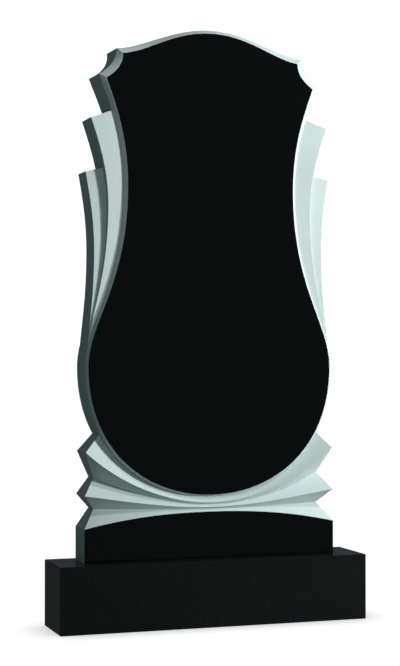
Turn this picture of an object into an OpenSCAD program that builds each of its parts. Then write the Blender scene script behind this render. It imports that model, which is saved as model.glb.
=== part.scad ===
// Headstone: a carved granite slab (stele) that stands upright on a sawn granite bar (plinth).
//
// Frame: +Z up, the ground is Z = 0, the front looks towards -Y, the origin is the middle of the footprint.
// The slab is drawn in its own frame first: x from its middle, z from the plinth's top, and "depth" from
// its polished front face (0) to its back (stele_t).

/* [Slab] */
// Width of the slab's foot, which the pleats reach as well
stele_w = 600; // [500:5:720]
// Thickness of the slab
stele_t = 80; // [66:1:110]
// Height of the foot at its two ends, where the lowest ridge starts
foot_h = 76; // [60:1:95]

/* [Polished panel: heights, each above the one before] */
// Widest level of the panel above its lowest point
bulge_rise = 292; // [240:1:360]
// Narrowest level above the widest one
waist_rise = 408; // [340:1:490]
// Shoulder corner above the narrowest level
shoulder_rise = 241; // [200:1:290]
// Upper corner of the notch above the shoulder corner
notch_rise = 57; // [47:1:69]
// Top of the crown above the notch's upper corner
crown_rise = 57; // [47:1:69]

/* [Polished panel: insets from the slab's side] */
// Inset of the widest level
bulge_inset = 8.5; // [6:0.5:12]
// Inset of the waist
waist_inset = 100; // [84:1:120]
// Inset of the shoulder corner
shoulder_inset = 50; // [42:1:60]
// Inset of the notch's upper corner
notch_inset = 88; // [74:1:105]

/* [Ground bevel round the panel] */
// Depth of the bevel's outer edge behind the polished face
bevel_depth = 8; // [5:0.5:10]
// Height of the bevel at the crown
bevel_crown = 8; // [6:0.5:10]
// Sideways reach of the bevel at the notch's upper corner
bevel_notch_out = 12.5; // [10:0.5:15]
// Upward reach of the bevel at the notch's upper corner
bevel_notch_up = 11; // [9:0.5:13]
// Sideways reach of the bevel at the shoulder corner
bevel_shoulder_out = 16; // [13:0.5:19]
// Upward reach of the bevel at the shoulder corner
bevel_shoulder_up = 8; // [6:0.5:10]
// Width of the bevel at the waist
bevel_waist = 8; // [6:0.5:10]
// Width of the bevel at the widest level
bevel_bulge = 4.5; // [3:0.5:6]
// Height of the bevel at the panel's lowest point
bevel_foot = 4; // [3:0.5:5]
// How much further out the back's corners lie, as a share of the bevel's sideways reach
side_draft = 0.25; // [0:0.05:0.4]

/* [Upper feather] */
// Outer corner of its top, inset from the slab's side
upper_inset = 14; // [11:0.5:17]
// Outer corner of its top, above the panel's waist level
upper_rise = 150; // [125:1:180]
// Inset of its outer edge where it is narrowest
upper_waist_inset = 55; // [46:1:60]
// Drop of that narrowest level below the panel's waist level
upper_waist_drop = 53; // [44:1:64]
// Angle that its top falls towards the outside
upper_slant = 22; // [15:1:30]
// Depth of its face at the outer edge, at the top
upper_edge_depth = 3; // [2:0.5:6]
// Depth of its face beside the panel, at the top
upper_root_depth = 8.8; // [8.6:0.1:14]

/* [Lower feather] */
// Outer corner of its top, inset from the slab's side
lower_inset = 5.5; // [4:0.5:7]
// Outer corner of its top, above the panel's waist level
lower_rise = 30; // [24:1:40]
// Inset of its outer edge where it is narrowest
lower_waist_inset = 24.5; // [20:0.5:30]
// Drop of that narrowest level below the panel's waist level
lower_waist_drop = 150; // [125:1:180]
// Angle that its top falls towards the outside
lower_slant = 17; // [10:1:25]
// Depth of its face at the outer edge, at the top
lower_edge_depth = 16; // [13:0.5:20]
// Depth of its face beside the upper feather, at the top
lower_root_depth = 18; // [15:0.5:22]

/* [Fan of pleats] */
// Depth of the valleys at the slab's sides
valley_depth = 35; // [29:1:42]
// Inset of the valleys' ends from the slab's side
valley_inset = 29.5; // [24:0.5:35]
// Inset of the upper ridge's end
upper_ridge_inset = 3; // [2:0.5:4]
// Inset of the middle ridge's end
middle_ridge_inset = 1; // [0.5:0.5:2]
// Rise from the foot's end to the lower valley's end
lower_valley_rise = 41.5; // [35:0.5:48]
// Rise from the foot's end to the middle ridge's end
middle_ridge_rise = 74; // [62:1:86]
// Rise from the foot's end to the upper valley's end
upper_valley_rise = 111.5; // [95:0.5:130]
// Rise from the foot's end to the upper ridge's end
upper_ridge_rise = 171; // [145:1:200]
// Height that the foot's top edge arches above its ends
arch_rise = 31; // [26:1:36]
// Height of each lower pleat at the middle of the slab, where they pinch together
pinch = 5.25; // [4.25:0.25:6.5]
// Height of the top pleat's face at the middle of the slab
top_pleat = 13; // [10:0.5:18]
// Depth of the top pleat's crease beside the panel, at the slab's side
crease_depth = 19; // [16:1:23]

/* [Plinth] */
// Height of the plinth
plinth_h = 150; // [125:1:180]
// Ledge of the plinth at each side of the slab
side_ledge = 65; // [50:1:80]
// Ledge of the plinth in front of the slab
front_ledge = 42; // [35:1:60]
// Ledge of the plinth behind the slab
back_ledge = 28; // [20:1:40]

/* [Hidden] */

granite = [0.06, 0.08, 0.08];
ground_granite = [0.62, 0.68, 0.67];

half = stele_w / 2;
plinth_w = stele_w + 2 * side_ledge;
plinth_d = front_ledge + stele_t + back_ledge;

fan_top_z = foot_h + arch_rise + 4 * pinch;
panel_foot_z = fan_top_z + top_pleat + bevel_foot;
bulge_z = panel_foot_z + bulge_rise;
waist_z = bulge_z + waist_rise;
shoulder_z = waist_z + shoulder_rise;
notch_z = shoulder_z + notch_rise;
crown_z = notch_z + crown_rise;

// Steps along each curve
curve_steps = 14;
arc_steps = 8;
feather_steps = 28;
fan_steps = 20;

// How far a carved part runs on inside its neighbour, so that the two are one stone
lap = 14;
// How far the feathers' tips lie behind the bevel's outer edge, and their inner edges behind that
tip_step = 1.5;
tip_tilt = 0.5;
// Height of the feathers' tips above the panel's widest level, as a share of the rise to its waist
tip_lift = 0.03;
// How far the top pleat's crease lies behind the bevel's outer edge at the middle of the slab
crease_step = 2;
// How far the top pleat runs on behind the panel, as a multiple of its visible height
crease_reach = 1.35;
// Where the top pleat's end meets the panel, from 0 at the widest level to 1 at its lowest point
fan_start = 0.305;

// Handles of the panel's curves, as shares of the stretch that each one spans
crown_handle = 0.434;
crown_end = [0.29, 0.127];
notch_start = 0.44;
notch_end = [0.58, 0.25];
shoulder_handle = [0.18, 0.137];
waist_above = 0.53;
waist_below = 0.55;
bulge_above = 0.245;
bulge_below = 0.65;
foot_handle = 0.53;

// Handles of the feathers' outer edges, as shares of the stretch that each one spans
feather_top = [0.8, 0.46];
feather_above = 0.31;
feather_below = 0.5;
feather_tip = [-0.08, 0.24];

// Handles of the fan's edges: the start's share of the half width, then the end's shares of
// the half width and of the rise
upper_ridge_pull = [0.29, 0.33, 0.74];
upper_valley_pull = [0.24, 0.38, 0.74];
middle_ridge_pull = [0.36, 0.33, 0.46];
lower_valley_pull = [0.38, 0.33, 0.24];
foot_pull = [0.26, 0.41, 0.9];
// Heights of the fan's edges at the middle of the slab, below its top, in pleats
fan_levels = [0, 1, 2, 2.8, 4];

// ---------- curves ----------

function along(p, t) = pow(1 - t, 3) * p[0] + 3 * pow(1 - t, 2) * t * p[1]
    + 3 * (1 - t) * t * t * p[2] + pow(t, 3) * p[3];

// Points of a cubic curve without its first point, so that curves can be chained
function curve(p, steps) = [for (i = [1 : steps]) along(p, i / steps)];

function mix(a, b, t) = a + (b - a) * t;

// ---------- right half of the panel's outline, from the crown down to the lowest point ----------
// k = 0 gives the edge of the polished face, and k = 1 the outer edge of the bevel.

function crown_point(k) = [0, crown_z + k * bevel_crown];
function notch_point(k) = [half - notch_inset + k * bevel_notch_out, notch_z + k * bevel_notch_up];
function shoulder_point(k) =
    [half - shoulder_inset + k * bevel_shoulder_out, shoulder_z + k * bevel_shoulder_up];
function waist_point(k) = [half - waist_inset + k * bevel_waist, waist_z];
function bulge_point(k) = [half - bulge_inset + k * bevel_bulge, bulge_z];
function foot_point(k) = [0, panel_foot_z - k * bevel_foot];

function crown_curve(k) = let (a = crown_point(k), b = notch_point(k))
    [a, a + [crown_handle * (half - notch_inset), 0],
     b + [-crown_end.x * (half - notch_inset), (1 - k / 2) * crown_end.y * (a.y - b.y)], b];

function notch_curve(k) = let (a = notch_point(k), b = shoulder_point(k))
    [a, a - [0, notch_start * (a.y - b.y)],
     b + [-notch_end.x * (b.x - a.x), notch_end.y * (a.y - b.y)], b];

function shoulder_curve(k) = let (a = shoulder_point(k), b = waist_point(k))
    [a, a - [shoulder_handle.x * (a.x - b.x), shoulder_handle.y * (a.y - b.y)],
     b + [0, waist_above * (a.y - b.y)], b];

function flank_curve(k) = let (a = waist_point(k), b = bulge_point(k))
    [a, a - [0, waist_below * (a.y - b.y)], b + [0, bulge_above * (a.y - b.y)], b];

function belly_curve(k) = let (a = bulge_point(k), b = foot_point(k))
    [a, a - [0, bulge_below * (a.y - b.y)], b + [foot_handle * a.x, 0], b];

function outline(k) = concat([crown_point(k)], curve(crown_curve(k), curve_steps),
    curve(notch_curve(k), arc_steps), curve(shoulder_curve(k), curve_steps),
    curve(flank_curve(k), 2 * curve_steps), curve(belly_curve(k), 2 * curve_steps));

// ---------- outer edges of the two feathers, from the top corner down to the tip ----------

function feather_edge(inset, rise, waist_in, drop) =
    let (top = [half - inset, waist_z + rise],
         mid = [half - waist_in, waist_z - drop],
         tip = [half - bulge_inset, bulge_z + tip_lift * waist_rise],
         above = top.y - mid.y,
         below = mid.y - tip.y)
    concat([top],
        curve([top, top - [feather_top.x * (top.x - mid.x), feather_top.y * above],
               mid + [0, feather_above * above], mid], feather_steps / 2),
        curve([mid, mid - [0, feather_below * below],
               tip + [feather_tip.x * (tip.x - mid.x), feather_tip.y * below], tip],
            feather_steps / 2));

upper_edge = feather_edge(upper_inset, upper_rise, upper_waist_inset, upper_waist_drop);
lower_edge = feather_edge(lower_inset, lower_rise, lower_waist_inset, lower_waist_drop);

// The wall flares fully everywhere but in the notch (u from 0 to 1), where its middle stays square
function draft_at(u) = (u > 0 && u < 1) ? pow(2 * u - 1, 2) : 1;

// Half width of the bevel's outer edge, and of the upper feather, at a height
bevel_table = [for (p = outline(1)) [p.y, p.x]];
upper_table = [for (p = upper_edge) [p.y, p.x]];
function bevel_x(z) = lookup(z, bevel_table);
function upper_x(z) = max(lookup(z, upper_table), bevel_x(z));

// ---------- solids from rows of points ----------

function two_triangles(a, b, c, d) = [[a, b, c], [a, c, d]];
function join(lists) = [for (one = lists) each one];

// The panel: rings of points that run round the outline, closed by strips from side to side
module ringed_slab(rings) {
    n = len(rings[0]);
    m = 2 * n - 2;
    left = [for (i = [0 : n - 1]) (i == 0 || i == n - 1) ? i : m - i];
    points = join([for (ring = rings) concat(
        [for (p = ring) p],
        [for (i = [n - 2 : -1 : 1]) [-ring[i].x, ring[i].y, ring[i].z]])]);
    last = (len(rings) - 1) * m;
    walls = join([for (r = [0 : len(rings) - 2], j = [0 : m - 1])
        two_triangles(r * m + j, (r + 1) * m + j, (r + 1) * m + (j + 1) % m, r * m + (j + 1) % m)]);
    caps = join([for (i = [0 : n - 2])
        let (a = i, b = i + 1, c = left[i + 1], d = left[i])
        concat(
            (b == c) ? [] : [[a, b, c], [last + c, last + b, last + a]],
            (a == d) ? [] : [[a, c, d], [last + d, last + c, last + a]])]);
    polyhedron(points, concat(walls, caps));
}

// A block whose front is a grid of points and whose back lies flat at the slab's back
module carved_block(grid) {
    rows = len(grid);
    cols = len(grid[0]);
    back = rows * cols;
    points = concat(
        join(grid),
        [for (row = grid) each [for (p = row) [p.x, stele_t, p.z]]]);
    front_faces = join([for (r = [0 : rows - 2], c = [0 : cols - 2])
        let (a = r * cols + c, b = a + 1, d = a + cols, e = d + 1)
        concat(two_triangles(a, b, e, d), two_triangles(back + a, back + d, back + e, back + b))]);
    side_faces = join([for (r = [0 : rows - 2])
        let (a = r * cols, d = a + cols, b = a + cols - 1, e = b + cols)
        concat(two_triangles(a, d, back + d, back + a), two_triangles(b, back + b, back + e, e))]);
    end_faces = join([for (c = [0 : cols - 2])
        let (a = c, b = c + 1, d = (rows - 1) * cols + c, e = d + 1)
        concat(two_triangles(a, back + a, back + b, b), two_triangles(d, e, back + e, back + d))]);
    polyhedron(points, concat(front_faces, side_faces, end_faces));
}

// ---------- sub-parts of the slab ----------

module panel() {
    face = [for (p = outline(0)) [p.x, 0, p.y]];
    bevel = [for (p = outline(1)) [p.x, bevel_depth, p.y]];
    wide = outline(1 + side_draft);
    back = [for (i = [0 : len(wide) - 1])
        [mix(bevel[i].x, wide[i].x, draft_at((i - curve_steps) / arc_steps)), stele_t, bevel[i].z]];
    ringed_slab([face, bevel, back]);
}

module feather(edge, slant, edge_depth, root_depth, bend, side_x) {
    steps = len(edge) - 1;
    tip_depth = bevel_depth + tip_step;
    function fade(s) = (bend > 0) ? pow(s, 2) : 1 - pow(1 - s, 2);
    root = [for (i = [0 : steps])
        let (s = i / steps,
             z = edge[i].y + tan(slant) * max(edge[i].x - side_x(edge[i].y), 0))
        [side_x(z) - lap, mix(root_depth, tip_depth + tip_tilt, s), z]];
    outer = [for (i = [0 : steps])
        [edge[i].x, mix(edge_depth, tip_depth, fade(i / steps)), edge[i].y]];
    carved_block([for (i = [0 : steps]) [root[i], outer[i]]]);
}

// Rails of the fan: each is a curve from the slab's middle (s = 0) to its side (s = 1)
function rail(level, end, pull) = let (mid = [0, fan_top_z - level * pinch])
    [mid, mid + [pull[0] * end.x, 0], end - [pull[1] * end.x, pull[2] * (end.y - mid.y)], end];

upper_ridge_end = [half - upper_ridge_inset, foot_h + upper_ridge_rise];
upper_valley_end = [half - valley_inset, foot_h + upper_valley_rise];
middle_ridge_end = [half - middle_ridge_inset, foot_h + middle_ridge_rise];
lower_valley_end = [half - valley_inset, foot_h + lower_valley_rise];
foot_end = [half, foot_h];

upper_ridge = rail(fan_levels[0], upper_ridge_end, upper_ridge_pull);
upper_valley = rail(fan_levels[1], upper_valley_end, upper_valley_pull);
middle_ridge = rail(fan_levels[2], middle_ridge_end, middle_ridge_pull);
lower_valley = rail(fan_levels[3], lower_valley_end, lower_valley_pull);
foot_arch = rail(fan_levels[4], foot_end, foot_pull);

// Depth of a valley follows how far apart the ridges beside it are
function valley_at(s, above, below) =
    valley_depth * (along(above, s) - along(below, s)).y / (above[3] - below[3]).y;

function fan_row(s) =
    let (side = sign(s), t = abs(s),
         a = along(upper_ridge, t),
         b = along(upper_valley, t),
         c = along(middle_ridge, t),
         d = along(lower_valley, t),
         e = along(foot_arch, t),
         crease = along(belly_curve(1), mix(1, fan_start, t)),
         hidden = mix(a, crease, crease_reach),
         hidden_depth = crease_reach * mix(bevel_depth + crease_step, crease_depth, t))
    [for (q = [[hidden, hidden_depth],
               [a, 0],
               [b, valley_at(t, upper_ridge, middle_ridge)],
               [c, 0],
               [d, valley_at(t, middle_ridge, foot_arch)],
               [e, 0],
               [[e.x, 0], 0]])
        [(side < 0 ? -1 : 1) * q[0].x, q[1], q[0].y]];

module fan_and_foot() {
    carved_block([for (i = [fan_steps : -1 : -fan_steps]) fan_row(i / fan_steps)]);
}

module stele() {
    color(granite)
    translate([0, front_ledge - plinth_d / 2, plinth_h]) {
        panel();
        fan_and_foot();
        for (side = [0, 1]) mirror([side, 0, 0]) {
            feather(upper_edge, upper_slant, upper_edge_depth, upper_root_depth, 1, function (z) bevel_x(z));
            feather(lower_edge, lower_slant, lower_edge_depth, lower_root_depth, -1, function (z) upper_x(z));
        }
    }
}

module plinth() {
    color(granite)
    translate([-plinth_w / 2, -plinth_d / 2, 0])
        cube([plinth_w, plinth_d, plinth_h]);
}

stele();
plinth();
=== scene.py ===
# %% [markdown]
# # A carved granite headstone
# The object is two stones: a carved upright slab (the stele) and the sawn bar that it stands on
# (the plinth). Both are black granite. Where it is polished it is almost black, and where it is
# ground it is pale grey. That contrast is the whole design.
# We load the solid model as a fixed frame first, because every finer piece has to fit it.

# %% Load the frame
import math

import bmesh
import bpy
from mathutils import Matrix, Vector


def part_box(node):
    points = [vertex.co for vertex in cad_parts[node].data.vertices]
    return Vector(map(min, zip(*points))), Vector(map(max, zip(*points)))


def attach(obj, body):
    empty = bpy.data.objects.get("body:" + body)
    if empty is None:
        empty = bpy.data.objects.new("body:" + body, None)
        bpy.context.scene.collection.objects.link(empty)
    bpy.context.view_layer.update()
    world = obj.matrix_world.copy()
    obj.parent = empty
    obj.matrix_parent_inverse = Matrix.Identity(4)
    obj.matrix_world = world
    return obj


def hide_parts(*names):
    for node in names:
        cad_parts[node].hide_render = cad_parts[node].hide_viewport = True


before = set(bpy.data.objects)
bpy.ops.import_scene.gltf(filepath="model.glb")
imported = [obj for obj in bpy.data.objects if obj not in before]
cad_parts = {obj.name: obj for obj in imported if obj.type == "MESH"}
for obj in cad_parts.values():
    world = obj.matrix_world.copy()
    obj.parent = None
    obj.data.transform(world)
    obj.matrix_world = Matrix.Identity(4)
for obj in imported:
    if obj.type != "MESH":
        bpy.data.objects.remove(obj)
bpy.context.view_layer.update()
print("nodes in the frame:", sorted(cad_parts))

# %% [markdown]
# ## Sizes
# The frame is in metres, and the carver's own sizes are in millimetres. The slab is drawn from its
# own front face: x runs from its middle, z up from the plinth's top, and depth back from the
# polished face. The frame tells us where the two stones are, and the rest are the carver's sizes.

# %% Sizes that come from the frame
MM = 0.001
plinth_low, plinth_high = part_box("plinth")
stele_low, stele_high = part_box("stele")
HALF = (stele_high[0] - stele_low[0]) / 2
THICK = stele_high[1] - stele_low[1]
FRONT_Y = stele_low[1]
BASE_Z = stele_low[2]
print("slab:", round(2 * HALF, 4), "wide,", round(THICK, 4), "thick, foot at z =", round(BASE_Z, 4))


# %% The carver's sizes, in millimetres
FOOT_H = 76
ARCH_RISE = 31
PINCH = 5.25
TOP_PLEAT = 13
BULGE_RISE = 292
WAIST_RISE = 408
SHOULDER_RISE = 241
NOTCH_RISE = 57
CROWN_RISE = 57
NOTCH_INSET = 88
SHOULDER_INSET = 50
WAIST_INSET = 100
BULGE_INSET = 8.5
BEVEL_DEPTH = 8
BEVEL_CROWN = 8
BEVEL_NOTCH_OUT = 12.5
BEVEL_NOTCH_UP = 11
BEVEL_SHOULDER_OUT = 16
BEVEL_SHOULDER_UP = 8
BEVEL_WAIST = 8
BEVEL_BULGE = 4.5
BEVEL_FOOT = 4
FAN_TOP = FOOT_H + ARCH_RISE + 4 * PINCH
PANEL_FOOT = FAN_TOP + TOP_PLEAT + BEVEL_FOOT
BULGE_Z = PANEL_FOOT + BULGE_RISE
WAIST_Z = BULGE_Z + WAIST_RISE
SHOULDER_Z = WAIST_Z + SHOULDER_RISE
NOTCH_Z = SHOULDER_Z + NOTCH_RISE
CROWN_Z = NOTCH_Z + CROWN_RISE
HALF_MM = HALF / MM
THICK_MM = THICK / MM
print("crown of the slab at", CROWN_Z + BEVEL_CROWN, "mm above the plinth")

# %% [markdown]
# ## Curves
# A cubic curve behaves like a flexible batten: it has two ends and two handles that pull on it.
# One short function gives a point on it, and another walks along it. Wherever a curve is laid out
# below, the plain fractions say how far its handles reach, as shares of that curve's rise and run.


# %% Curve helpers
def along(p, t):
    """The point at t, from 0 to 1, of the cubic curve with the four control points p."""
    w = ((1 - t) ** 3, 3 * t * (1 - t) ** 2, 3 * t * t * (1 - t), t ** 3)
    return tuple(sum(w[i] * p[i][k] for i in range(4)) for k in range(len(p[0])))


def walk(p, steps):
    """Points along the curve without its first one, so that curves can be chained."""
    return [along(p, i / steps) for i in range(1, steps + 1)]


def mix(a, b, t):
    return a + (b - a) * t


# %% [markdown]
# ## The panel's outline
# The polished panel swells to a crown, is notched at its shoulders, draws in to a waist and bulges
# again above the foot. A ground bevel runs round it. One function gives both lines: k = 0 is the
# edge of the polish and k = 1 the outer edge of the bevel, so any k between them lies on the
# bevel. That makes it easy to ease the two sharp edges by a hair later on.


# %% The panel's outline
TOP_STEPS, ARC_STEPS, SIDE_STEPS, HIP_STEPS, BELLY_STEPS = 44, 18, 28, 64, 72


def panel_corners(k):
    """The six corners, where k scales how far the bevel reaches at each of them."""
    crown = (0, CROWN_Z + BEVEL_CROWN * k)
    notch = (HALF_MM - NOTCH_INSET + BEVEL_NOTCH_OUT * k, NOTCH_Z + BEVEL_NOTCH_UP * k)
    shoulder = (HALF_MM - SHOULDER_INSET + BEVEL_SHOULDER_OUT * k, SHOULDER_Z + BEVEL_SHOULDER_UP * k)
    waist = (HALF_MM - WAIST_INSET + BEVEL_WAIST * k, WAIST_Z)
    bulge = (HALF_MM - BULGE_INSET + BEVEL_BULGE * k, BULGE_Z)
    foot = (0, PANEL_FOOT - BEVEL_FOOT * k)
    return crown, notch, shoulder, waist, bulge, foot


def belly_curve(k):
    """The curve from the widest level down to the lowest point."""
    bulge, foot = panel_corners(k)[4:]
    rise = bulge[1] - foot[1]
    return bulge, (bulge[0], bulge[1] - 0.65 * rise), (0.53 * bulge[0], foot[1]), foot


def panel_outline(k):
    """Points of the right half, from the crown down to the lowest point."""
    crown, notch, shoulder, waist, bulge = panel_corners(k)[:5]
    reach = HALF_MM - NOTCH_INSET
    crown_rise = crown[1] - notch[1]
    arc_rise = notch[1] - shoulder[1]
    arc_run = shoulder[0] - notch[0]
    neck = shoulder[1] - waist[1]
    flank = waist[1] - bulge[1]
    top = (crown, (0.434 * reach, crown[1]),
           (notch[0] - 0.29 * reach, notch[1] + (1 - k / 2) * 0.127 * crown_rise), notch)
    arc = (notch, (notch[0], notch[1] - 0.44 * arc_rise),
           (shoulder[0] - 0.58 * arc_run, shoulder[1] + 0.25 * arc_rise), shoulder)
    side = (shoulder, (shoulder[0] - 0.18 * (shoulder[0] - waist[0]), shoulder[1] - 0.137 * neck),
            (waist[0], waist[1] + 0.53 * neck), waist)
    hip = (waist, (waist[0], waist[1] - 0.55 * flank), (bulge[0], bulge[1] + 0.245 * flank), bulge)
    return ([crown] + walk(top, TOP_STEPS) + walk(arc, ARC_STEPS) + walk(side, SIDE_STEPS)
            + walk(hip, HIP_STEPS) + walk(belly_curve(k), BELLY_STEPS))


print("points round the panel:", 2 * len(panel_outline(0)) - 2)

# %% [markdown]
# ## Turning points into stone
# Every carved part here is a stack of rings or a row of sections. We build each with bmesh, close
# it, and turn its faces outwards. The parts run on into each other, and are made one stone at the
# end.


# %% Mesh helpers
def place(x, depth, z):
    """A point of the slab in the frame: millimetres in, metres out."""
    return (x * MM, FRONT_Y + depth * MM, BASE_Z + z * MM)


def finish_mesh(name, bm):
    """Closes up doubled points, turns the faces outwards and makes an object at the origin."""
    bmesh.ops.remove_doubles(bm, verts=bm.verts, dist=1e-7)
    bmesh.ops.recalc_face_normals(bm, faces=bm.faces)
    mesh = bpy.data.meshes.new(name)
    bm.to_mesh(mesh)
    bm.free()
    obj = bpy.data.objects.new(name, mesh)
    bpy.context.scene.collection.objects.link(obj)
    return obj


def stack(name, rings):
    """A closed solid from rings with equal counts: walls between them and a face at each end."""
    bm = bmesh.new()
    rows = [[bm.verts.new(p) for p in ring] for ring in rings]
    for low, high in zip(rows, rows[1:]):
        for i in range(len(low)):
            j = (i + 1) % len(low)
            bm.faces.new((low[i], low[j], high[j], high[i]))
    bm.faces.new(rows[0])
    bm.faces.new(rows[-1][::-1])
    obj = finish_mesh(name, bm)
    print(name, "has", len(obj.data.polygons), "faces")
    return obj


# %% [markdown]
# ## The panel
# From the front backwards the rings are: the polish, a hair-wide eased edge, the bevel, another
# eased edge, and the back. The wall behind the bevel flares a little towards the back, but stays
# square in the middle of the notch.


# %% Make the panel
def full_ring(points, depth):
    """The whole outline at one depth: the right half down, then the left half back up."""
    right = [place(x, depth, z) for x, z in points]
    left = [place(-x, depth, z) for x, z in points[-2:0:-1]]
    return right + left


def back_outline(draft):
    """The outline at the back, flared by draft except in the middle of the notch."""
    flared, square = panel_outline(1 + draft), panel_outline(1)
    points = []
    for i, (wide, straight) in enumerate(zip(flared, square)):
        u = (i - TOP_STEPS) / ARC_STEPS
        share = (2 * u - 1) ** 2 if 0 < u < 1 else 1
        points.append((mix(straight[0], wide[0], share), straight[1]))
    return points


SIDE_DRAFT = 0.25
BEVEL_STAGES = [(-0.04, 0), (0.05, 0.4), (0.95, 7.6), (1, 8.6)]
panel_rings = [full_ring(panel_outline(k), depth) for k, depth in BEVEL_STAGES]
panel_rings.append(full_ring(back_outline(SIDE_DRAFT), THICK_MM))
panel = stack("carved_stele", panel_rings)

# %% [markdown]
# ## The feathers
# Two long blades step back from each side of the panel, like folded feathers. Each has one flowing
# outer edge and a top that falls away outwards. A feather is a row of five-sided sections from its
# top to its tip, where it dies into the bulge. The extra corner in each section is the eased
# outer edge, which catches a thin line of light.


# %% The feathers' outer edges
TIP_LIFT = 0.03
TIP_STEP = 1.5
TIP_TILT = 0.5
LAP = 14
FEATHER_STEPS = 48


def feather_edge(inset, rise, waist_inset, waist_drop):
    """Points of a feather's outer edge, from its top through its narrowest level to its tip."""
    top = (HALF_MM - inset, WAIST_Z + rise)
    mid = (HALF_MM - waist_inset, WAIST_Z - waist_drop)
    tip = (HALF_MM - BULGE_INSET, BULGE_Z + TIP_LIFT * WAIST_RISE)
    above, below = top[1] - mid[1], mid[1] - tip[1]
    first = (top, (top[0] - 0.8 * (top[0] - mid[0]), top[1] - 0.46 * above),
             (mid[0], mid[1] + 0.31 * above), mid)
    second = (mid, (mid[0], mid[1] - 0.5 * below),
              (tip[0] + 0.08 * (tip[0] - mid[0]), tip[1] + 0.24 * below), tip)
    return [top] + walk(first, FEATHER_STEPS) + walk(second, FEATHER_STEPS)


def width_at(points, z):
    """Half width of an outline, given from the top down, at the height z."""
    best = None
    for (x0, z0), (x1, z1) in zip(points, points[1:]):
        if z1 <= z <= z0 and z0 > z1:
            best = mix(x0, x1, (z0 - z) / (z0 - z1))
    return best if best is not None else (points[0][0] if z > points[0][1] else points[-1][0])


upper_edge = feather_edge(inset=14, rise=150, waist_inset=55, waist_drop=53)
lower_edge = feather_edge(inset=5.5, rise=30, waist_inset=24.5, waist_drop=150)
bevel_line = panel_outline(1)[TOP_STEPS + ARC_STEPS:]
print("upper feather from", round(upper_edge[0][1]), "down to", round(upper_edge[-1][1]), "mm")


# %% Make the four feathers
def feather(name, edge, slant, edge_depth, root_depth, bend, inner_line, ease, side):
    """One feather. Its top falls by the slant, and its face runs from root_depth beside the panel to
    edge_depth at its edge. The edge's depth changes late if bend is positive and early if not. Ease
    is how much is taken off its outer edge at the top, and it fades to nothing at the tip."""
    sections = []
    tip_depth = BEVEL_DEPTH + TIP_STEP
    count = len(edge) - 1
    for i, (x, z) in enumerate(edge):
        s = i / count
        fade = s * s if bend > 0 else 1 - (1 - s) ** 2
        depth = mix(edge_depth, tip_depth, fade)
        root_z = z + math.tan(math.radians(slant)) * max(x - width_at(inner_line, z), 0)
        root_x = width_at(inner_line, root_z)
        root = mix(root_depth, tip_depth + TIP_TILT, s)
        tilt = (root - depth) / max(x - root_x, 1)
        soft = ease * (1 - s)
        inner = root_x - LAP
        sections.append([place(side * px, d, pz) for px, d, pz in (
            (inner, root, root_z), (x - soft, depth + tilt * soft, z), (x, depth + soft, z),
            (x, THICK_MM, z), (inner, THICK_MM, root_z))])
    return stack(name, sections)


def upper_or_bevel():
    """The line that the lower feather starts from: the upper feather's edge, then the bevel."""
    return [(max(x, width_at(bevel_line, z)), z) for (x, z) in upper_edge]


lower_root = upper_or_bevel()
feathers = []
for side, word in ((1, "right"), (-1, "left")):
    feathers.append(feather("upper_feather_" + word, upper_edge, slant=22, edge_depth=3,
                            root_depth=8.8, bend=1, inner_line=bevel_line, ease=1.6, side=side))
    feathers.append(feather("lower_feather_" + word, lower_edge, slant=17, edge_depth=16,
                            root_depth=18, bend=-1, inner_line=lower_root, ease=0.5, side=side))

# %% [markdown]
# ## The fan of pleats
# Below the panel the stone is folded like a fan. It follows a rule, so Geometry Nodes suit it: the
# front is a grid, each of its rows is one edge of the fan, and each edge is a cubic curve with its
# own four control points. A valley is as deep as the ridges beside it are far apart. That rule is
# linear in the control points, so the depths of a valley make a cubic curve too.


# %% The fan's edges
UPPER_RIDGE_INSET = 3
MIDDLE_RIDGE_INSET = 1
UPPER_RIDGE_RISE = 171
UPPER_VALLEY_RISE = 111.5
MIDDLE_RIDGE_RISE = 74
LOWER_VALLEY_RISE = 41.5
VALLEY_INSET = 29.5
VALLEY_DEPTH = 35
CREASE_START = 0.305
CREASE_DEEPEST = 19
CREASE_REACH = 1.35


def fan_edge(level, inset, end_rise, pull):
    """Control points (x, depth, z) of a ridge from the slab's middle to its side. The level counts
    pinches down from the fan's top, and pull sets the handles."""
    end = (HALF_MM - inset, FOOT_H + end_rise)
    mid_z = FAN_TOP - level * PINCH
    rise = end[1] - mid_z
    return [(0, 0, mid_z), (pull[0] * end[0], 0, mid_z),
            ((1 - pull[1]) * end[0], 0, end[1] - pull[2] * rise), (end[0], 0, end[1])]


def sunk(edge, above, below, deepest):
    """A valley: its depth follows how far apart the ridges beside it are."""
    spread = above[3][2] - below[3][2]
    return [(x, deepest * (above[i][2] - below[i][2]) / spread, z) for i, (x, _, z) in enumerate(edge)]


def split(curve, t):
    """The control points of the part of a cubic curve from t to its end, reversed."""
    a, b, c, d = curve

    def lerp(p, q):
        return tuple(mix(p[k], q[k], t) for k in range(len(p)))

    ab, bc, cd = lerp(a, b), lerp(b, c), lerp(c, d)
    abc, bcd = lerp(ab, bc), lerp(bc, cd)
    return [d, cd, bcd, lerp(abc, bcd)]


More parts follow.
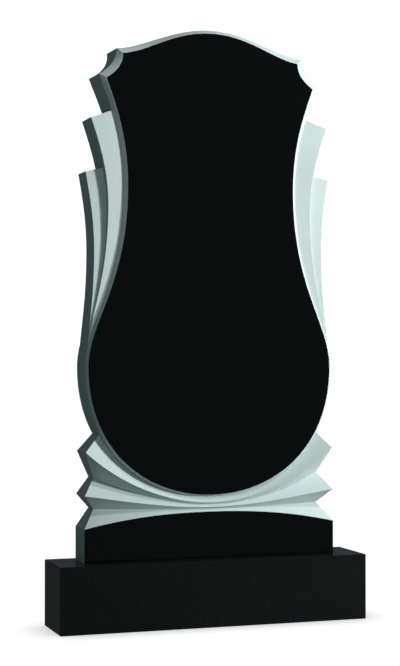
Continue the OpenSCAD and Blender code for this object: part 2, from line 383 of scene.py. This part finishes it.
upper_ridge = fan_edge(0, UPPER_RIDGE_INSET, UPPER_RIDGE_RISE, (0.29, 0.33, 0.74))
middle_ridge = fan_edge(2, MIDDLE_RIDGE_INSET, MIDDLE_RIDGE_RISE, (0.36, 0.33, 0.46))
foot_arch = fan_edge(4, 0, 0, (0.26, 0.41, 0.9))
upper_valley = sunk(fan_edge(1, VALLEY_INSET, UPPER_VALLEY_RISE, (0.24, 0.38, 0.74)),
                    upper_ridge, middle_ridge, VALLEY_DEPTH)
lower_valley = sunk(fan_edge(2.8, VALLEY_INSET, LOWER_VALLEY_RISE, (0.38, 0.33, 0.24)),
                    middle_ridge, foot_arch, VALLEY_DEPTH)
crease_line = split(belly_curve(1), CREASE_START)
crease_depth = [mix(BEVEL_DEPTH + 2, CREASE_DEEPEST, i / 3) for i in range(4)]
crease = [(mix(r[0], c[0], CREASE_REACH), CREASE_REACH * d, mix(r[2], c[1], CREASE_REACH))
          for r, c, d in zip(upper_ridge, crease_line, crease_depth)]
underside = [(x, 0, 0) for x, _, _ in foot_arch]
fan_edges = [crease, upper_ridge, upper_valley, middle_ridge, lower_valley, foot_arch, underside]
print("the fan has", len(fan_edges), "edges from its crease to the slab's underside")

# %% [markdown]
# The helpers below keep the node trees readable. `add` makes a node and wires values or other
# nodes into its named inputs, and `run_tree` puts a tree on an object, sets the modifier's inputs
# by their identifiers, and turns the result into a plain mesh.


# %% Node helpers
def add(tree, kind, inputs=(), output=0, **settings):
    """Adds a node, sets it up, wires its inputs, and returns one of its outputs."""
    node = tree.nodes.new(kind)
    for key, value in settings.items():
        setattr(node, key, value)
    for key, value in dict(inputs).items():
        if isinstance(value, bpy.types.NodeSocket):
            tree.links.new(value, node.inputs[key])
        else:
            node.inputs[key].default_value = value
    return node.outputs[output]


def calc(tree, operation, *values):
    """A Math node."""
    return add(tree, "ShaderNodeMath", dict(enumerate(values)), operation=operation)


def new_tree(name, sizes):
    """A geometry tree with named size inputs, and the sockets of its inside."""
    tree = bpy.data.node_groups.new(name, "GeometryNodeTree")
    tree.interface.new_socket(name="Geometry", in_out="OUTPUT", socket_type="NodeSocketGeometry")
    tree.interface.new_socket(name="Geometry", in_out="INPUT", socket_type="NodeSocketGeometry")
    for size_name, (kind, _) in sizes.items():
        tree.interface.new_socket(name=size_name, in_out="INPUT", socket_type=kind)
    inside = tree.nodes.new("NodeGroupInput")
    return tree, inside.outputs


def end_tree(tree, geometry, material):
    """Ends a tree in Realize Instances and Set Material."""
    real = add(tree, "GeometryNodeRealizeInstances", {0: geometry})
    done = add(tree, "GeometryNodeSetMaterial", {"Geometry": real, "Material": material})
    out = tree.nodes.new("NodeGroupOutput")
    tree.links.new(done, out.inputs[0])


def run_tree(name, tree, sizes):
    """Runs a tree on an empty mesh and returns a plain object with the result."""
    carrier = bpy.data.objects.new(name + "_carrier", bpy.data.meshes.new(name + "_seed"))
    bpy.context.scene.collection.objects.link(carrier)
    modifier = carrier.modifiers.new("build", "NODES")
    modifier.node_group = tree
    for item in tree.interface.items_tree:
        if item.in_out == "INPUT" and item.name in sizes:
            modifier[item.identifier] = sizes[item.name][1]
    bpy.context.view_layer.update()
    graph = bpy.context.evaluated_depsgraph_get()
    mesh = bpy.data.meshes.new_from_object(carrier.evaluated_get(graph), depsgraph=graph)
    mesh.name = name
    bpy.data.objects.remove(carrier)
    obj = bpy.data.objects.new(name, mesh)
    bpy.context.scene.collection.objects.link(obj)
    return obj


def merged(obj):
    """Merges doubled points, turns the faces outwards and returns the volume."""
    bm = bmesh.new()
    bm.from_mesh(obj.data)
    bmesh.ops.remove_doubles(bm, verts=bm.verts, dist=1e-6)
    bmesh.ops.recalc_face_normals(bm, faces=bm.faces)
    bm.to_mesh(obj.data)
    volume = bm.calc_volume()
    bm.free()
    return volume


# %% [markdown]
# ## Granite
# Black granite is a tight mosaic of dark crystals one or two millimetres across, with a few bright
# flecks. Cells of a Voronoi texture stand for the crystals, and a slow noise gives the faint clouds
# of a real slab. The same stone appears in three finishes, so one function makes them all: a mirror
# polish, a fine grind that bruises the surface to pale grey, and plain sawing for the back. The
# plinth's polish is a shade lighter than the panel's, so that there are four materials.


# %% Shader helpers
def ramp(tree, factor, stops):
    """A Color Ramp node with grey or coloured stops."""
    node = tree.nodes.new("ShaderNodeValToRGB")
    tree.links.new(factor, node.inputs[0])
    bar = node.color_ramp
    while len(bar.elements) < len(stops):
        bar.elements.new(0.5)
    for element, (position, colour) in zip(bar.elements, stops):
        element.position = position
        element.color = (*colour, 1)
    return node.outputs[0]


def blend_colour(tree, factor, a, b, mode="MIX"):
    node = tree.nodes.new("ShaderNodeMix")
    node.data_type = "RGBA"
    node.blend_type = mode
    for index, value in ((0, factor), (6, a), (7, b)):
        if isinstance(value, bpy.types.NodeSocket):
            tree.links.new(value, node.inputs[index])
        else:
            node.inputs[index].default_value = value
    return node.outputs[2]


def tint(level):
    """A grey with the stone's faint sea-green cast."""
    return (level * 0.81, level, level * 0.99)


# %% The granite, in three finishes
CRYSTALS = 620
CLOUDS = 7
FLECKS = 210


def granite(name, dark, light, fleck, fleck_share, roughness, gloss, bump, marks):
    """One finish: crystals from dark to light, a share of bright flecks, and the marks left on it.
    All kinds of marks are called alike, so not each of them uses everything it is given."""
    material = bpy.data.materials.new(name)
    material.use_nodes = True
    tree = material.node_tree
    tree.nodes.clear()
    place_on = add(tree, "ShaderNodeTexCoord", output="Object")
    cells = tree.nodes.new("ShaderNodeTexVoronoi")
    cells.inputs["Scale"].default_value = CRYSTALS
    tree.links.new(place_on, cells.inputs["Vector"])
    crystal = add(tree, "ShaderNodeSeparateColor", {0: cells.outputs["Color"]})
    clouds = add(tree, "ShaderNodeTexNoise", {"Vector": place_on, "Scale": CLOUDS, "Detail": 5})
    body = ramp(tree, crystal, [(0.0, dark), (0.55, tuple(mix(dark[i], light[i], 0.4) for i in range(3))),
                                (1.0, light)])
    cloud_tone = ramp(tree, clouds, [(0.3, (0.93, 0.93, 0.93)), (0.7, (1.0, 1.0, 1.0))])
    body = blend_colour(tree, 1.0, body, cloud_tone, "MULTIPLY")
    specks = tree.nodes.new("ShaderNodeTexVoronoi")
    specks.inputs["Scale"].default_value = FLECKS
    tree.links.new(place_on, specks.inputs["Vector"])
    chosen = add(tree, "ShaderNodeSeparateColor", {0: specks.outputs["Color"]}, output=1)
    bright = calc(tree, "GREATER_THAN", chosen, 1 - fleck_share)
    near = calc(tree, "LESS_THAN", specks.outputs["Distance"], 0.22)
    colour = blend_colour(tree, calc(tree, "MULTIPLY", bright, near), body, (*fleck, 1))
    rough = add(tree, "ShaderNodeMapRange",
                {"Value": crystal, "To Min": roughness[0], "To Max": roughness[1]})
    height = marks(tree, place_on, crystal)
    bumped = add(tree, "ShaderNodeBump", {"Height": height, "Strength": bump[0], "Distance": bump[1]})
    shader = tree.nodes.new("ShaderNodeBsdfPrincipled")
    tree.links.new(colour, shader.inputs["Base Color"])
    tree.links.new(rough, shader.inputs["Roughness"])
    tree.links.new(bumped, shader.inputs["Normal"])
    shader.inputs["Specular IOR Level"].default_value = gloss
    shader.inputs["IOR"].default_value = 1.55
    out = tree.nodes.new("ShaderNodeOutputMaterial")
    tree.links.new(shader.outputs[0], out.inputs["Surface"])
    print("finish:", name)
    return material


def polish_marks(tree, place_on, crystal):
    """A polish leaves only the faintest difference in height between hard and soft crystals."""
    return crystal


def grind_marks(tree, place_on, crystal):
    """A grinding disc leaves fine scratches along the slab and a gritty skin."""
    along_slab = add(tree, "ShaderNodeMapping", {"Vector": place_on, "Scale": (900, 900, 60)})
    scratches = add(tree, "ShaderNodeTexNoise", {"Vector": along_slab, "Scale": 1, "Detail": 3})
    grit = add(tree, "ShaderNodeTexNoise", {"Vector": place_on, "Scale": 1400, "Detail": 2})
    rough_skin = calc(tree, "MULTIPLY_ADD", grit, 0.8, scratches)
    return calc(tree, "MULTIPLY_ADD", crystal, 0.25, rough_skin)


def saw_marks(tree, place_on, crystal):
    """A big circular blade leaves wide, shallow arcs."""
    from_blade = add(tree, "ShaderNodeMapping", {"Vector": place_on, "Location": (0.9, 0, 0.7)})
    arcs = add(tree, "ShaderNodeTexWave", {"Vector": from_blade, "Scale": 42, "Distortion": 0.6,
                                           "Detail": 2}, output=1,
               wave_type="RINGS", rings_direction="Y")
    grit = add(tree, "ShaderNodeTexNoise", {"Vector": place_on, "Scale": 900, "Detail": 2})
    return calc(tree, "MULTIPLY_ADD", arcs, 0.8, grit)


polished = granite("polished_granite", tint(0.0012), tint(0.0024), tint(0.006), fleck_share=0.04,
                   roughness=(0.05, 0.10), gloss=0.35, bump=(0.03, 0.00005), marks=polish_marks)
plinth_polish = granite("plinth_polish", tint(0.0072), tint(0.0125), tint(0.02), fleck_share=0.05,
                        roughness=(0.08, 0.15), gloss=0.06, bump=(0.03, 0.00005), marks=polish_marks)
ground = granite("ground_granite", tint(0.575), tint(0.625), tint(0.54), fleck_share=0.06,
                 roughness=(0.58, 0.70), gloss=0.3, bump=(0.15, 0.00015), marks=grind_marks)
sawn = granite("sawn_granite", tint(0.16), tint(0.23), tint(0.32), fleck_share=0.08,
               roughness=(0.62, 0.8), gloss=0.3, bump=(0.5, 0.00025), marks=saw_marks)

# %% [markdown]
# ## The fan's node tree
# The grid's x runs from -1 at the left side to 1 at the right, and its y counts the edges. Index
# Switch nodes pick the control points of a row's own edge, and the cubic's four weights mix them.
# The left half mirrors the right by the sign of x. The front is then pushed back to the slab's
# back face, and a flipped copy of it closes the solid.


# %% Build the fan
def pick_point(tree, row, points):
    """The control point that belongs to the row's edge."""
    node = tree.nodes.new("GeometryNodeIndexSwitch")
    node.data_type = "VECTOR"
    while len(node.index_switch_items) < len(points):
        node.index_switch_items.new()
    tree.links.new(row, node.inputs["Index"])
    for i, (x, depth, z) in enumerate(points):
        node.inputs[i + 1].default_value = (x * MM, depth * MM, z * MM)
    return node.outputs[0]


def cubic_weights(tree, t):
    rest = calc(tree, "SUBTRACT", 1.0, t)
    tt = calc(tree, "MULTIPLY", t, t)
    rr = calc(tree, "MULTIPLY", rest, rest)
    return [calc(tree, "MULTIPLY", rr, rest),
            calc(tree, "MULTIPLY", calc(tree, "MULTIPLY", rr, t), 3.0),
            calc(tree, "MULTIPLY", calc(tree, "MULTIPLY", tt, rest), 3.0),
            calc(tree, "MULTIPLY", tt, t)]


def fan_tree(edges, sizes):
    tree, given = new_tree("pleated_fan", sizes)
    rows = len(edges)
    grid = add(tree, "GeometryNodeMeshGrid", {"Size X": 2.0, "Size Y": rows - 1.0,
                                              "Vertices X": given["Stations"], "Vertices Y": rows})
    spot = tree.nodes.new("ShaderNodeSeparateXYZ")
    tree.links.new(add(tree, "GeometryNodeInputPosition"), spot.inputs[0])
    across, up = spot.outputs[0], spot.outputs[1]
    row = calc(tree, "ROUND", calc(tree, "SUBTRACT", (rows - 1) / 2, up))
    t = calc(tree, "ABSOLUTE", across)
    total = None
    for step, weight in enumerate(cubic_weights(tree, t)):
        point = pick_point(tree, row, [edge[step] for edge in edges])
        part = add(tree, "ShaderNodeVectorMath", {0: point, "Scale": weight}, operation="SCALE")
        total = part if total is None else add(tree, "ShaderNodeVectorMath", {0: total, 1: part})
    found = tree.nodes.new("ShaderNodeSeparateXYZ")
    tree.links.new(total, found.inputs[0])
    x = calc(tree, "MULTIPLY", found.outputs[0], calc(tree, "SIGN", across))
    y = calc(tree, "ADD", found.outputs[1], given["Front"])
    z = calc(tree, "ADD", found.outputs[2], given["Foot height"])
    front = add(tree, "GeometryNodeSetPosition",
                {"Geometry": grid, "Position": add(tree, "ShaderNodeCombineXYZ", {0: x, 1: y, 2: z})})
    pushed = tree.nodes.new("GeometryNodeExtrudeMesh")
    pushed.inputs["Individual"].default_value = False
    pushed.inputs["Offset Scale"].default_value = 0.0
    tree.links.new(front, pushed.inputs["Mesh"])
    now = tree.nodes.new("ShaderNodeSeparateXYZ")
    tree.links.new(add(tree, "GeometryNodeInputPosition"), now.inputs[0])
    back_y = calc(tree, "ADD", given["Front"], given["Thickness"])
    flat = add(tree, "ShaderNodeCombineXYZ", {0: now.outputs[0], 1: back_y, 2: now.outputs[2]})
    shell = add(tree, "GeometryNodeSetPosition",
                {"Geometry": pushed.outputs["Mesh"], "Selection": pushed.outputs["Top"], "Position": flat})
    joined = tree.nodes.new("GeometryNodeJoinGeometry")
    tree.links.new(add(tree, "GeometryNodeFlipFaces", {0: front}), joined.inputs[0])
    tree.links.new(shell, joined.inputs[0])
    closed = add(tree, "GeometryNodeMergeByDistance", {"Geometry": joined.outputs[0], "Distance": 1e-6})
    end_tree(tree, closed, ground)
    return tree


fan_sizes = {"Front": ("NodeSocketFloat", FRONT_Y), "Foot height": ("NodeSocketFloat", BASE_Z),
             "Thickness": ("NodeSocketFloat", THICK), "Stations": ("NodeSocketInt", 129)}
fan = run_tree("fan", fan_tree(fan_edges, fan_sizes), fan_sizes)
print("fan:", len(fan.data.polygons), "faces,", round(merged(fan) * 1e6), "cubic centimetres")

# %% [markdown]
# ## One stone
# A boolean union joins the panel, the feathers and the fan, so that nothing is left inside. Then
# each face is given its finish by where it lies: what is on the front plane is polished, what is
# on the back plane is sawn, and all the rest is ground.


# %% Join the stele
BACK_Y = FRONT_Y + THICK
SNAP = 1e-5
for part in feathers + [fan, panel]:
    for vertex in part.data.vertices:
        for flush in (FRONT_Y, BACK_Y):
            if abs(vertex.co.y - flush) < SNAP:
                vertex.co.y = flush
for part in feathers + [fan]:
    union = panel.modifiers.new("join_" + part.name, "BOOLEAN")
    union.operation = "UNION"
    union.solver = "MANIFOLD"
    union.object = part
bpy.context.view_layer.update()
graph = bpy.context.evaluated_depsgraph_get()
joined_mesh = bpy.data.meshes.new_from_object(panel.evaluated_get(graph), depsgraph=graph)
panel.modifiers.clear()
panel.data = joined_mesh
for part in feathers + [fan]:
    bpy.data.objects.remove(part)
stele = panel

# %% Tidy the stele's mesh and give its faces their finishes
stele_volume = merged(stele)
stele.data.materials.clear()
for finish in (ground, polished, sawn):
    stele.data.materials.append(finish)
PLANE = 2e-5
SHARP_DEGREES = 14
for face in stele.data.polygons:
    on_front = all(abs(stele.data.vertices[v].co.y - FRONT_Y) < PLANE for v in face.vertices)
    on_back = all(abs(stele.data.vertices[v].co.y - FRONT_Y - THICK) < PLANE for v in face.vertices)
    face.material_index = 1 if on_front else (2 if on_back else 0)
    face.use_smooth = True
stele.data.set_sharp_from_angle(angle=math.radians(SHARP_DEGREES))
check = bmesh.new()
check.from_mesh(stele.data)
open_edges = sum(1 for edge in check.edges if not edge.is_manifold)
check.free()
print("stele:", len(stele.data.polygons), "faces, open edges:", open_edges,
      "volume:", round(stele_volume * 1e6), "cubic centimetres")

# %% [markdown]
# ## The plinth
# The plinth is a plain bar with its edges eased by a hair. Its back and its underside are left sawn
# and the rest is polished. The hull of three crossed boxes, each full size in one direction and a
# hair smaller in the other two, is exactly such a bar, and Geometry Nodes can build it from four
# named sizes.


# %% Build the plinth
def bar_tree(sizes):
    tree, given = new_tree("eased_bar", sizes)
    full = [given["Width"], given["Depth"], given["Height"]]
    less = [calc(tree, "SUBTRACT", size, calc(tree, "MULTIPLY", given["Ease"], 2.0)) for size in full]
    joined = tree.nodes.new("GeometryNodeJoinGeometry")
    for axis in range(3):
        sides = {i: (full[i] if i == axis else less[i]) for i in range(3)}
        size = add(tree, "ShaderNodeCombineXYZ", sides)
        tree.links.new(add(tree, "GeometryNodeMeshCube", {"Size": size}), joined.inputs[0])
    hull = add(tree, "GeometryNodeConvexHull", {0: joined.outputs[0]})
    lift = add(tree, "ShaderNodeCombineXYZ", {2: calc(tree, "MULTIPLY", given["Height"], 0.5)})
    moved = add(tree, "GeometryNodeSetPosition", {"Geometry": hull, "Offset": lift})
    end_tree(tree, moved, plinth_polish)
    return tree


bar_sizes = {"Width": ("NodeSocketFloat", plinth_high[0] - plinth_low[0]),
             "Depth": ("NodeSocketFloat", plinth_high[1] - plinth_low[1]),
             "Height": ("NodeSocketFloat", plinth_high[2] - plinth_low[2]),
             "Ease": ("NodeSocketFloat", 0.0012)}
plinth = run_tree("sawn_plinth", bar_tree(bar_sizes), bar_sizes)
plinth_volume = merged(plinth)
plinth.data.materials.clear()
for finish in (plinth_polish, sawn):
    plinth.data.materials.append(finish)
for face in plinth.data.polygons:
    face.material_index = 1 if face.normal.y > 0.99 or face.normal.z < -0.99 else 0
print("plinth:", len(plinth.data.polygons), "faces,", round(plinth_volume * 1e6), "cubic centimetres")

# %% [markdown]
# ## Tie the pieces to the frame
# Nothing here moves, so both stones ride on the one body, and each stands for its own node.

# %% Ride and replace
for piece, node, slot in ((stele, "stele", "polished_granite"), (plinth, "plinth", "plinth_granite")):
    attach(piece, "root")
    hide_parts(node)
    print(piece.name, "stands for", node)

# %% [markdown]
# ## The studio
# A white floor and a white surround, with a strong lamp at mid height on the right and a weaker one
# above it. They graze the bevels and pleats, so that each fold has a light and a dark side. A weak
# lamp in front opens the shadows, and one behind shows the sawn back. Those two are hidden from
# reflections, so that the polish doesn't mirror the front one as a white disc. The floor glows by
# itself, and a painted contact shadow dims its glow close to the stone. The surround looks white
# but gives little light, so that the polish stays black.


# %% Floor
SPAN = 30
floor_mesh = bpy.data.meshes.new("floor")
floor_mesh.from_pydata([(-SPAN, -SPAN, 0), (SPAN, -SPAN, 0), (SPAN, SPAN, 0), (-SPAN, SPAN, 0)],
                       [], [(0, 1, 2, 3)])
floor = bpy.data.objects.new("floor", floor_mesh)
bpy.context.scene.collection.objects.link(floor)
paper = bpy.data.materials.new("white_floor_with_painted_shadow")
paper.use_nodes = True
paper_nodes = paper.node_tree
paper_nodes.nodes.clear()
# Painted contact shadow: an ambient occlusion node dims the floor's glow close to the stone.
painted_contact_shadow = add(paper_nodes, "ShaderNodeAmbientOcclusion", {"Distance": 0.09}, output="AO")
level = add(paper_nodes, "ShaderNodeMapRange",
            {"Value": painted_contact_shadow, "From Min": 0.45, "From Max": 0.97, "To Min": 0.62, "To Max": 1.0})
glow = add(paper_nodes, "ShaderNodeEmission", {"Color": (1, 1, 1, 1), "Strength": level})
matte = add(paper_nodes, "ShaderNodeBsdfDiffuse", {"Color": (0.03, 0.03, 0.03, 1)})
both = add(paper_nodes, "ShaderNodeAddShader", {0: glow, 1: matte})
paper_out = paper_nodes.nodes.new("ShaderNodeOutputMaterial")
paper_nodes.links.new(both, paper_out.inputs["Surface"])
floor_mesh.materials.append(paper)
floor.visible_diffuse = False
floor.visible_glossy = False
print("floor:", 2 * SPAN, "m across")

# %% Surround and lamps
LAMP_TARGET = (0, 0, 0.75)
world = bpy.data.worlds.new("studio")
bpy.context.scene.world = world
world.use_nodes = True
sky = world.node_tree
sky.nodes.clear()
seen = add(sky, "ShaderNodeLightPath", output="Is Camera Ray")
dim = add(sky, "ShaderNodeBackground", {"Color": (0.78, 1.0, 0.99, 1), "Strength": 0.086})
white = add(sky, "ShaderNodeBackground", {"Color": (1, 1, 1, 1), "Strength": 1.1})
surround = add(sky, "ShaderNodeMixShader", {0: seen, 1: dim, 2: white})
sky_out = sky.nodes.new("ShaderNodeOutputWorld")
sky.links.new(surround, sky_out.inputs["Surface"])


def area_lamp(name, position, size, power, colour):
    """A round lamp at the position, turned towards the middle of the stone."""
    data = bpy.data.lights.new(name, "AREA")
    data.shape = "DISK"
    data.size = size
    data.energy = power
    data.color = colour
    lamp = bpy.data.objects.new(name, data)
    bpy.context.scene.collection.objects.link(lamp)
    lamp.location = position
    aim = [LAMP_TARGET[i] - position[i] for i in range(3)]
    yaw = math.atan2(aim[0], -aim[1])
    tilt = math.atan2(math.hypot(aim[0], aim[1]), -aim[2])
    lamp.rotation_euler = (tilt, 0, yaw + math.pi)
    return lamp


key = area_lamp("key", (2.1, -1.3, 0.8), 0.16, 70, (1.0, 0.955, 0.95))
high = area_lamp("high", (1.2, -1.0, 2.0), 0.25, 21, (1.0, 0.99, 0.985))
fill = area_lamp("fill", (0, -4, 0.8), 0.6, 17, (0.97, 1.0, 1.0))
back = area_lamp("back", (0, 4, 0.8), 0.5, 80, (1.0, 1.0, 1.0))
for soft_lamp in (fill, back):
    soft_lamp.visible_glossy = False
for lamp in (key, high, fill, back):
    print(lamp.name, "lamp at", tuple(round(v, 2) for v in lamp.location))

# %% Camera
camera_data = bpy.data.cameras.new("camera")
camera_data.sensor_width = 36
camera_data.lens = 84.79
camera = bpy.data.objects.new("camera", camera_data)
bpy.context.scene.collection.objects.link(camera)
camera.location = (-1.1804, -3.4168, 0.6147)
camera.rotation_euler = (math.radians(90.789), 0, math.radians(-18.791))
bpy.context.scene.camera = camera
bpy.context.scene.view_settings.view_transform = "Standard"
bpy.context.scene.view_settings.look = "None"
camera_reach = math.hypot(camera.location.x, camera.location.y)
print("camera", round(camera_reach, 3), "m from the middle of the stone")
